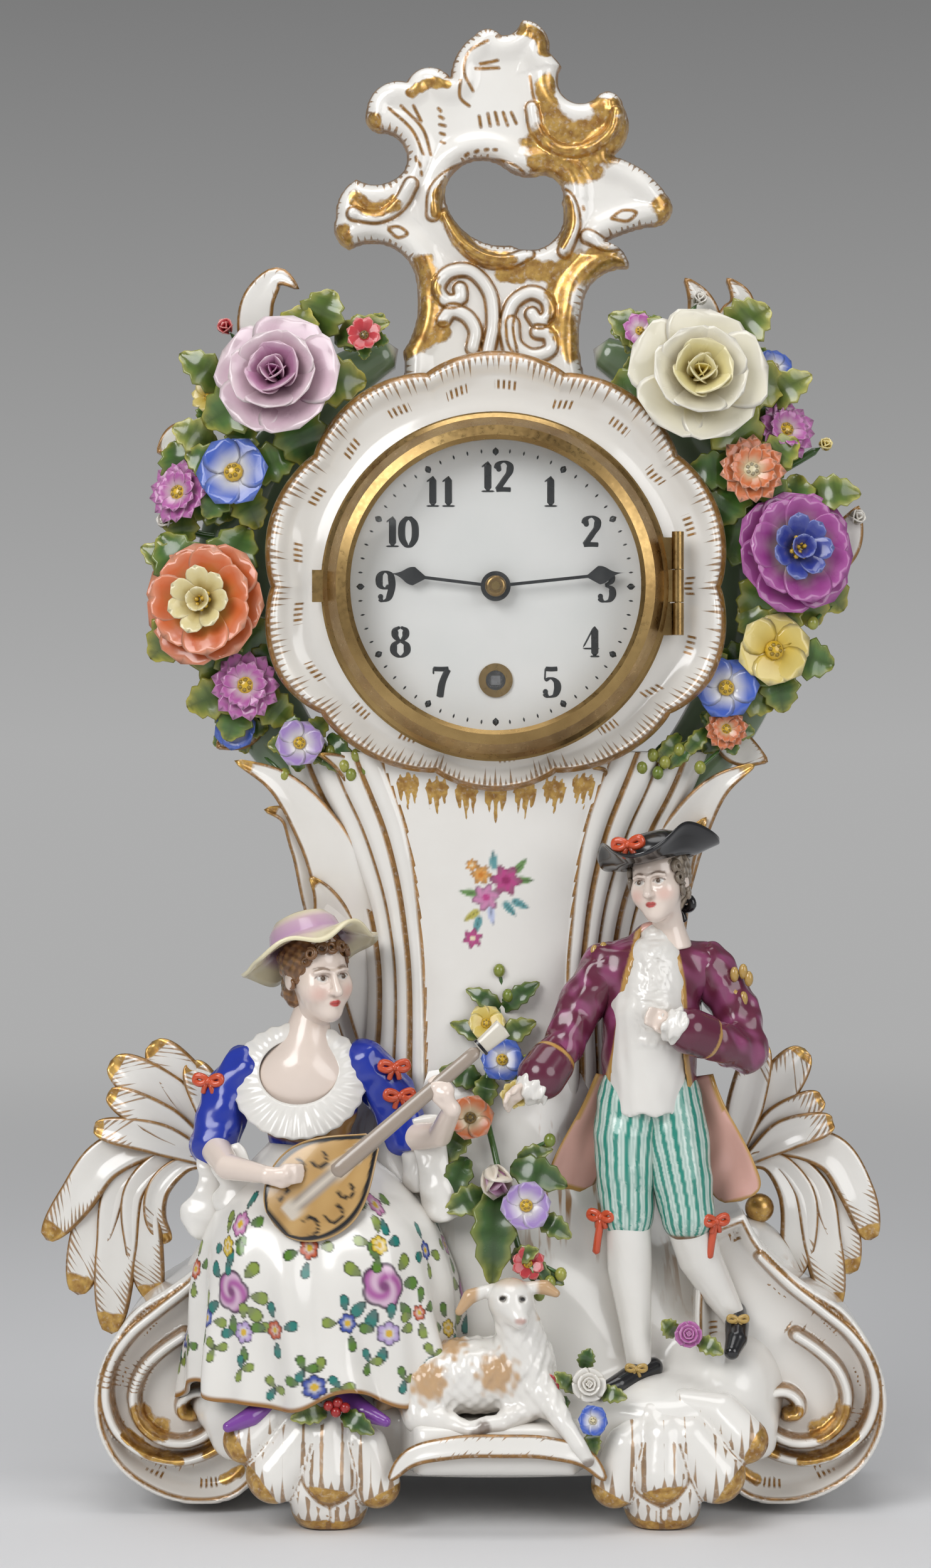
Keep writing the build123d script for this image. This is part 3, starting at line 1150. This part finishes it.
def make_ratchet_wheel():
    """Saw-toothed wheel on the winding arbor, in front of the front plate."""
    z = DIAL_Z - WINDING_DROP
    pitch = 360 / RATCHET_TEETH
    points = []
    for i in range(RATCHET_TEETH):
        points.append(turned(RATCHET_R - RATCHET_TOOTH, pitch * i))
        points.append(turned(RATCHET_R, pitch * (i + RATCHET_LEAN_SHARE)))
    face = make_face(Polyline(points, close=True))
    back = PLATE_Y - CLICK_GAP
    solid = Pos(AXIS_X, back, z) * extrude(Plane.XZ * face, RATCHET_T)
    return solid - disc(WIND_ARBOR_R + FIT, back - RATCHET_T - CUT, back + CUT, AXIS_X, z)


CLICK_AT = (BARREL_AT[0] + RATCHET_R + CLICK_GAP + CLICK_W, BARREL_AT[1] + CLICK_L)


def make_click():
    """Pawl on its stud; its nose stands just clear of the ratchet's teeth, as when lifted for winding."""
    x, z = AXIS_X + CLICK_AT[0], DIAL_Z + CLICK_AT[1]
    nose_z = DIAL_Z + BARREL_AT[1]
    back = PLATE_Y - CLICK_GAP
    boss = disc(CLICK_W / 2 + CLICK_PIVOT_R, back - CLICK_T, back, x, z)
    arm = Pos(x, back - CLICK_T / 2, (z + nose_z) / 2) * Box(CLICK_W / 2, CLICK_T, CLICK_L)
    nose_l = CLICK_W + CLICK_W / 4
    nose = Pos(x - nose_l / 2 + CLICK_W / 4, back - CLICK_T / 2, nose_z) * Box(nose_l, CLICK_T, CLICK_W / 2)
    clear = disc(RATCHET_R + CLICK_GAP, back - CLICK_T - CUT, back + CUT, AXIS_X, nose_z)
    bore = disc(CLICK_PIVOT_R + RUN, back - CLICK_T - CUT, back + CUT, x, z)
    return solid_of(boss + arm + nose - clear - bore)


def make_spring_barrel():
    """Mainspring barrel with the great wheel at its back."""
    x, z = AXIS_X, DIAL_Z - WINDING_DROP
    mesh_at = bearing(BARREL_AT, INTER_AT)
    teeth = solid_wheel(GREAT_TEETH, GREAT_MODULE, GREAT_WHEEL_Y, BARREL_AT, mesh_at)
    room = disc(BARREL_R - BARREL_WALL, BARREL_Y + BARREL_WALL, GREAT_WHEEL_Y, x, z)
    drum = disc(BARREL_R, BARREL_Y, GREAT_WHEEL_Y, x, z) - room
    return drum + teeth - disc(WIND_ARBOR_R + RUN, BARREL_Y - CUT, GREAT_WHEEL_Y + CUT, x, z)


def spiral_strip(inner_r, outer_r, thickness, turns, height, front, centre):
    """Flat strip wound in a plane about an axis along Y."""
    steps = turns * STRIP_POINTS
    step = 360 / STRIP_POINTS
    line = []
    other = []
    for i in range(steps + 1):
        radius = inner_r + (outer_r - inner_r) * i / steps
        line.append(turned(radius, step * i))
        other.append(turned(radius + thickness, step * i))
    face = make_face(Spline(line) + Line(line[-1], other[-1]) + Spline(other[::-1]) + Line(other[0], line[0]))
    return Pos(AXIS_X + centre[0], front + height, DIAL_Z + centre[1]) * extrude(Plane.XZ * face, height)


def make_mainspring():
    room = BARREL_R - BARREL_WALL
    front = BARREL_Y + (BARREL_L + BARREL_WALL - SPRING_H) / 2
    inner, outer = WIND_ARBOR_R + RUN * 2, room - SPRING_T - RUN * 4
    return spiral_strip(inner, outer, SPRING_T, SPRING_TURNS, SPRING_H, front, BARREL_AT)


def make_intermediate_wheel():
    big = wheel(INTER_TEETH, INTER_MODULE, INTER_WHEEL_Y, INTER_AT, bearing(INTER_AT, CENTRE_AT))
    small_y = GREAT_WHEEL_Y - (PINION_T - WHEEL_T) / 2
    gap = bearing(INTER_AT, BARREL_AT) + half_tooth(INTER_PINION_TEETH)
    return big + pinion(INTER_PINION_TEETH, GREAT_MODULE, small_y, INTER_AT, gap) + arbor(INTER_AT)


def make_centre_wheel():
    """Centre wheel and pinion on the arbor that carries the minute hand."""
    big = wheel(CENTRE_TEETH, CENTRE_MODULE, CENTRE_WHEEL_Y, CENTRE_AT, bearing(CENTRE_AT, THIRD_AT))
    small_y = INTER_WHEEL_Y - (PINION_T - WHEEL_T) / 2
    gap = bearing(CENTRE_AT, INTER_AT) + half_tooth(CENTRE_PINION_TEETH)
    small = pinion(CENTRE_PINION_TEETH, INTER_MODULE, small_y, CENTRE_AT, gap)
    shaft = disc(CENTRE_ARBOR_R, MINUTE_HAND_Y - HAND_NUT_T, REAR_Y)
    return big + small + shaft


def train_wheel(teeth, module, wheel_y, pinion_teeth, pinion_module, pinion_y, at, driver_at, driven_at):
    """Wheel, pinion and arbor of the going train as one piece."""
    big = wheel(teeth, module, wheel_y, at, bearing(at, driven_at))
    gap = bearing(at, driver_at) + half_tooth(pinion_teeth)
    return big + pinion(pinion_teeth, pinion_module, pinion_y, at, gap) + arbor(at)


def pinion_plane(wheel_y):
    return wheel_y - (PINION_T - WHEEL_T) / 2


def make_third_wheel():
    return train_wheel(
        THIRD_TEETH, THIRD_MODULE, THIRD_WHEEL_Y,
        THIRD_PINION_TEETH, CENTRE_MODULE, pinion_plane(CENTRE_WHEEL_Y),
        THIRD_AT, CENTRE_AT, FOURTH_AT,
    )


def make_fourth_wheel():
    return train_wheel(
        FOURTH_TEETH, FOURTH_MODULE, FOURTH_WHEEL_Y,
        FOURTH_PINION_TEETH, THIRD_MODULE, pinion_plane(THIRD_WHEEL_Y),
        FOURTH_AT, THIRD_AT, ESCAPE_AT,
    )


def make_escape_wheel():
    """Escape wheel with raked teeth, and the pinion that the fourth wheel drives."""
    pitch = 360 / ESCAPE_TEETH
    root = ESCAPE_R * ESCAPE_ROOT_SHARE
    face_share, tip_share = ESCAPE_TOOTH_SHARES
    points = []
    for i in range(ESCAPE_TEETH):
        points.append(turned(root, pitch * i))
        points.append(turned(ESCAPE_R, pitch * (i + face_share)))
        points.append(turned(ESCAPE_R, pitch * (i + tip_share)))
        points.append(turned(root, pitch * (i + face_share)))
    face = make_face(Polyline(points, close=True))
    place = Pos(AXIS_X + ESCAPE_AT[0], ESCAPE_WHEEL_Y + WHEEL_T, DIAL_Z + ESCAPE_AT[1])
    gap = bearing(ESCAPE_AT, FOURTH_AT) + half_tooth(ESCAPE_PINION_TEETH)
    small = pinion(ESCAPE_PINION_TEETH, FOURTH_MODULE, pinion_plane(FOURTH_WHEEL_Y), ESCAPE_AT, gap)
    return place * extrude(Plane.XZ * face, WHEEL_T) + small + arbor(ESCAPE_AT)


def make_pallet_lever():
    """Anchor over the escape wheel, with its pallets open of the teeth, and a fork towards the balance."""
    x, z = AXIS_X + LEVER_AT[0], DIAL_Z + LEVER_AT[1]
    back = ESCAPE_WHEEL_Y + WHEEL_T
    inner = ESCAPE_R + PALLET_GAP
    toward = bearing(LEVER_AT, ESCAPE_AT)
    arms = arbor(LEVER_AT)
    span = ESCAPE_R * LEVER_SPAN_SHARE
    outside, tip, inside = PALLET_ANGLES
    arm = [(LEVER_W, 90), (span, outside), (span + PALLET_L, tip), (span - LEVER_W, inside)]
    outline = [(r, -a) for r, a in arm] + [(LEVER_W, 0)] + arm[::-1] + [(LEVER_W, 180)]
    face = make_face(Polyline([turned(r, toward + a) for r, a in outline], close=True))
    anchor = Pos(x, back, z) * extrude(Plane.XZ * face, LEVER_T)
    clear = disc(inner, back - WHEEL_T - CUT, back + CUT, AXIS_X + ESCAPE_AT[0], DIAL_Z + ESCAPE_AT[1])
    return solid_of(anchor - clear + arms)


def make_balance_wheel():
    """Balance behind the back plate: rim, one bar and a staff."""
    x, z = AXIS_X + BALANCE_AT[0], DIAL_Z + BALANCE_AT[1]
    front = REAR_Y + BALANCE_LIFT
    rim = ring(BALANCE_R, BALANCE_R - BALANCE_RIM, front, front + BALANCE_T, x, z)
    bar = Pos(x, front + BALANCE_T / 2, z) * Box(BALANCE_R * 2 - BALANCE_RIM, BALANCE_T, ARBOR_R * 2)
    staff = disc(ARBOR_R, REAR_Y + RUN * 2, REAR_Y + COCK_LIFT - RUN * 2, x, z)
    return rim + bar + staff + disc(PIVOT_R, BACK_PLATE_Y, REAR_Y + COCK_LIFT + COCK_T, x, z)


def make_hairspring():
    front = REAR_Y + BALANCE_LIFT + BALANCE_T + HAIRSPRING_H
    inner = ARBOR_R + FIT
    return spiral_strip(inner, HAIRSPRING_R, HAIRSPRING_T, HAIRSPRING_TURNS, HAIRSPRING_H, front, BALANCE_AT)


def make_balance_cock():
    """Bridge over the balance, on a foot that stands on the back plate inside the can."""
    x, z = AXIS_X + BALANCE_AT[0], DIAL_Z + BALANCE_AT[1]
    front = REAR_Y + COCK_LIFT
    inward = bearing(BALANCE_AT, CENTRE_AT)
    reach = BALANCE_R + COCK_W
    foot_x, foot_z = step_from((x, z), reach, inward)
    middle = Pos((x + foot_x) / 2, front + COCK_T / 2, (z + foot_z) / 2)
    bridge = middle * Rot(0, inward, 0) * Box(COCK_W, COCK_T, reach)
    boss = disc(COCK_W / 2, front, front + COCK_T, x, z)
    foot = disc(COCK_W / 2, REAR_Y, front + COCK_T, foot_x, foot_z)
    return bridge + boss + foot - disc(PIVOT_R + RUN, front - CUT, front + COCK_T + CUT, x, z)


def make_cannon_pinion():
    """Pipe and pinion that carry the minute hand, gripping the centre arbor."""
    mesh_at = bearing(CENTRE_AT, MINUTE_AT)
    small = pinion(CANNON_TEETH, MOTION_MODULE, MINUTE_WHEEL_Y, CENTRE_AT, mesh_at, CANNON_T)
    pipe = disc(CANNON_PIPE_R, MINUTE_HAND_Y + HAND_T, MINUTE_WHEEL_Y)
    return small + pipe - disc(CENTRE_ARBOR_R + FIT, MINUTE_HAND_Y - CUT, PLATE_Y)


def make_minute_wheel():
    gap = bearing(MINUTE_AT, CENTRE_AT) + half_tooth(MINUTE_TEETH)
    big = solid_wheel(MINUTE_TEETH, MOTION_MODULE, MINUTE_WHEEL_Y, MINUTE_AT, gap)
    small_at = bearing(MINUTE_AT, CENTRE_AT)
    length = MINUTE_WHEEL_Y - HOUR_WHEEL_Y
    small = pinion(MINUTE_PINION_TEETH, HOUR_MODULE, HOUR_WHEEL_Y, MINUTE_AT, small_at, length)
    bore = disc(ARBOR_R + RUN, HOUR_WHEEL_Y - CUT, PLATE_Y, AXIS_X + MINUTE_AT[0], DIAL_Z + MINUTE_AT[1])
    return big + small - bore


def make_hour_wheel():
    gap = bearing(CENTRE_AT, MINUTE_AT) + half_tooth(HOUR_TEETH)
    big = solid_wheel(HOUR_TEETH, HOUR_MODULE, HOUR_WHEEL_Y, CENTRE_AT, gap)
    pipe = disc(HOUR_PIPE_R, HOUR_HAND_Y, HOUR_WHEEL_Y)
    return big + pipe - disc(CANNON_PIPE_R + RUN, HOUR_HAND_Y - CUT, HOUR_WHEEL_Y + CUT)


def make_hand_nut():
    """Domed nut on the end of the centre arbor, against the minute hand."""
    nut = disc(HAND_NUT_R, MINUTE_HAND_Y - HAND_NUT_T, MINUTE_HAND_Y)
    nut = fillet(nut.faces().sort_by(Axis.Y)[0].edges(), HAND_NUT_T / 2)
    return nut - disc(CENTRE_ARBOR_R + FIT, MINUTE_HAND_Y - HAND_NUT_T - CUT, MINUTE_HAND_Y + CUT)


def movement_nodes():
    return {
        "bezel_ring": make_bezel_ring(),
        "bezel_glass": make_bezel_glass(),
        "bezel_hinge_pin": make_hinge_pin(),
        "dial_flange": make_dial_flange(),
        "dial": make_dial(),
        "winding_collet": make_winding_collet(),
        "hour_hand": make_hand(HOUR_HAND_L, HOUR_ANGLE, HOUR_PIPE_R - HAND_W / 2, HOUR_HAND_Y - HAND_T),
        "minute_hand": make_hand(MINUTE_HAND_L, MINUTE_ANGLE, CENTRE_ARBOR_R + FIT, MINUTE_HAND_Y),
        "hand_nut": make_hand_nut(),
        "front_plate": make_front_plate(),
        "back_plate": make_plate(BACK_PLATE_Y, WIND_PIVOT_R),
        "plate_pillars": make_plate_pillars(),
        "movement_can": make_movement_can(),
        "back_cover": make_back_cover(),
        "case_screws": make_case_screws(),
        "winding_arbor": make_winding_arbor(),
        "ratchet_wheel": make_ratchet_wheel(),
        "click": make_click(),
        "spring_barrel": make_spring_barrel(),
        "mainspring": make_mainspring(),
        "intermediate_wheel": make_intermediate_wheel(),
        "centre_wheel": make_centre_wheel(),
        "third_wheel": make_third_wheel(),
        "fourth_wheel": make_fourth_wheel(),
        "escape_wheel": make_escape_wheel(),
        "pallet_lever": make_pallet_lever(),
        "balance_wheel": make_balance_wheel(),
        "hairspring": make_hairspring(),
        "balance_cock": make_balance_cock(),
        "cannon_pinion": make_cannon_pinion(),
        "minute_wheel": make_minute_wheel(),
        "hour_wheel": make_hour_wheel(),
    }


def case_nodes():
    plinth = make_plinth()
    mound = make_rock_mound()
    pedestal = make_pedestal()
    drum_case = make_drum_case()
    feet = make_feet(plinth)
    mound_block = ellipses(mound_rows(0))
    volutes = make_volute_feet(plinth, mound_block, *feet)
    pedestal_block = ellipses(pedestal_rows(0))
    left = (LEFT_FROND_SHARES, LEFT_REACH, LEFT_LEAF_H, LEFT_LEAF_FOOT)
    left_leaf = make_leaf_scroll(-1, *left, mound_block, volutes[0])
    right = (RIGHT_FROND_SHARES, RIGHT_REACH, RIGHT_LEAF_H, RIGHT_LEAF_FOOT)
    right_leaf = make_leaf_scroll(1, *right, mound_block, volutes[1])
    pedestal_leaves = make_pedestal_leaves(pedestal_block, mound_block, cartouche_block(), drum_case)
    crest = make_crest(drum_case)
    garland_neighbours = (drum_case, crest, pedestal_block, *pedestal_leaves)
    nodes = {
        "plinth": plinth,
        "volute_feet": volutes,
        "feet": feet,
        "rock_mound": mound,
        "pedestal": pedestal,
        "pedestal_leaves": pedestal_leaves,
        "drum_case": drum_case,
        "crest": crest,
        "left_leaf_scroll": left_leaf,
        "right_leaf_scroll": right_leaf,
        "left_garland": make_garland(-1, *garland_neighbours),
        "right_garland": make_garland(1, *garland_neighbours),
    }
    ground = (plinth, mound_block, *feet[:2], *volutes)
    skirt = cut_by(ellipses(lady(LADY_SKIRT_SHARES)), *ground, pedestal_block)
    bodice = cut_by(ellipses(lady(LADY_BODICE_SHARES)), mound_block, pedestal_block)
    lady_head = cut_by(head_ball(lady_point(LADY_HEAD_SHARES), LADY_HEAD), bodice, pedestal_block)
    mandolin = cut_by(make_mandolin(), skirt, bodice)
    torso = cut_by(ellipses(man(MAN_TORSO_SHARES)), pedestal_block, mound_block)
    man_head = cut_by(head_ball(man_point(MAN_HEAD_SHARES), MAN_HEAD), torso)
    breeches = make_man_breeches(torso, mound_block, *volutes)
    legs = make_man_legs(breeches, *ground)
    coat = make_man_coat(torso, breeches, pedestal_block, mound_block, right_leaf, *legs, *volutes)
    man_arms = [
        cut_by(man_limb(rows), torso, coat, pedestal_block, mound_block)
        for rows in (MAN_RIGHT_ARM_SHARES, MAN_LEFT_ARM_SHARES)
    ]
    lamb = make_lamb(plinth, mound_block, skirt, *feet[:2])
    nodes |= {
        "lady_skirt": skirt,
        "lady_bodice": bodice,
        "lady_head": lady_head,
        "lady_hat": make_lady_hat(lady_head, bodice, pedestal_block),
        "lady_arms": make_lady_arms(bodice, skirt, mandolin, mound_block, left_leaf),
        "mandolin": mandolin,
        "man_legs": legs,
        "man_breeches": breeches,
        "man_torso": torso,
        "man_coat": coat,
        "man_arms": man_arms,
        "man_head": man_head,
        "man_hat": make_man_hat(man_head, torso, pedestal_block),
        "lamb": lamb,
        "pedestal_spray": make_pedestal_spray(pedestal_block, mound_block, mandolin, *man_arms, lamb, skirt),
        "base_flowers": make_base_flowers(plinth, mound_block, lamb, skirt, *feet[:2], *legs),
    }
    return nodes


def main():
    os.makedirs("parts", exist_ok=True)
    for name, shape in {**case_nodes(), **movement_nodes()}.items():
        solids = shape if isinstance(shape, list) else [shape]
        whole = Compound(children=[one for part in solids for one in part.solids()])
        export_step(whole, f"parts/{name}.step")


if __name__ == "__main__":
    main()
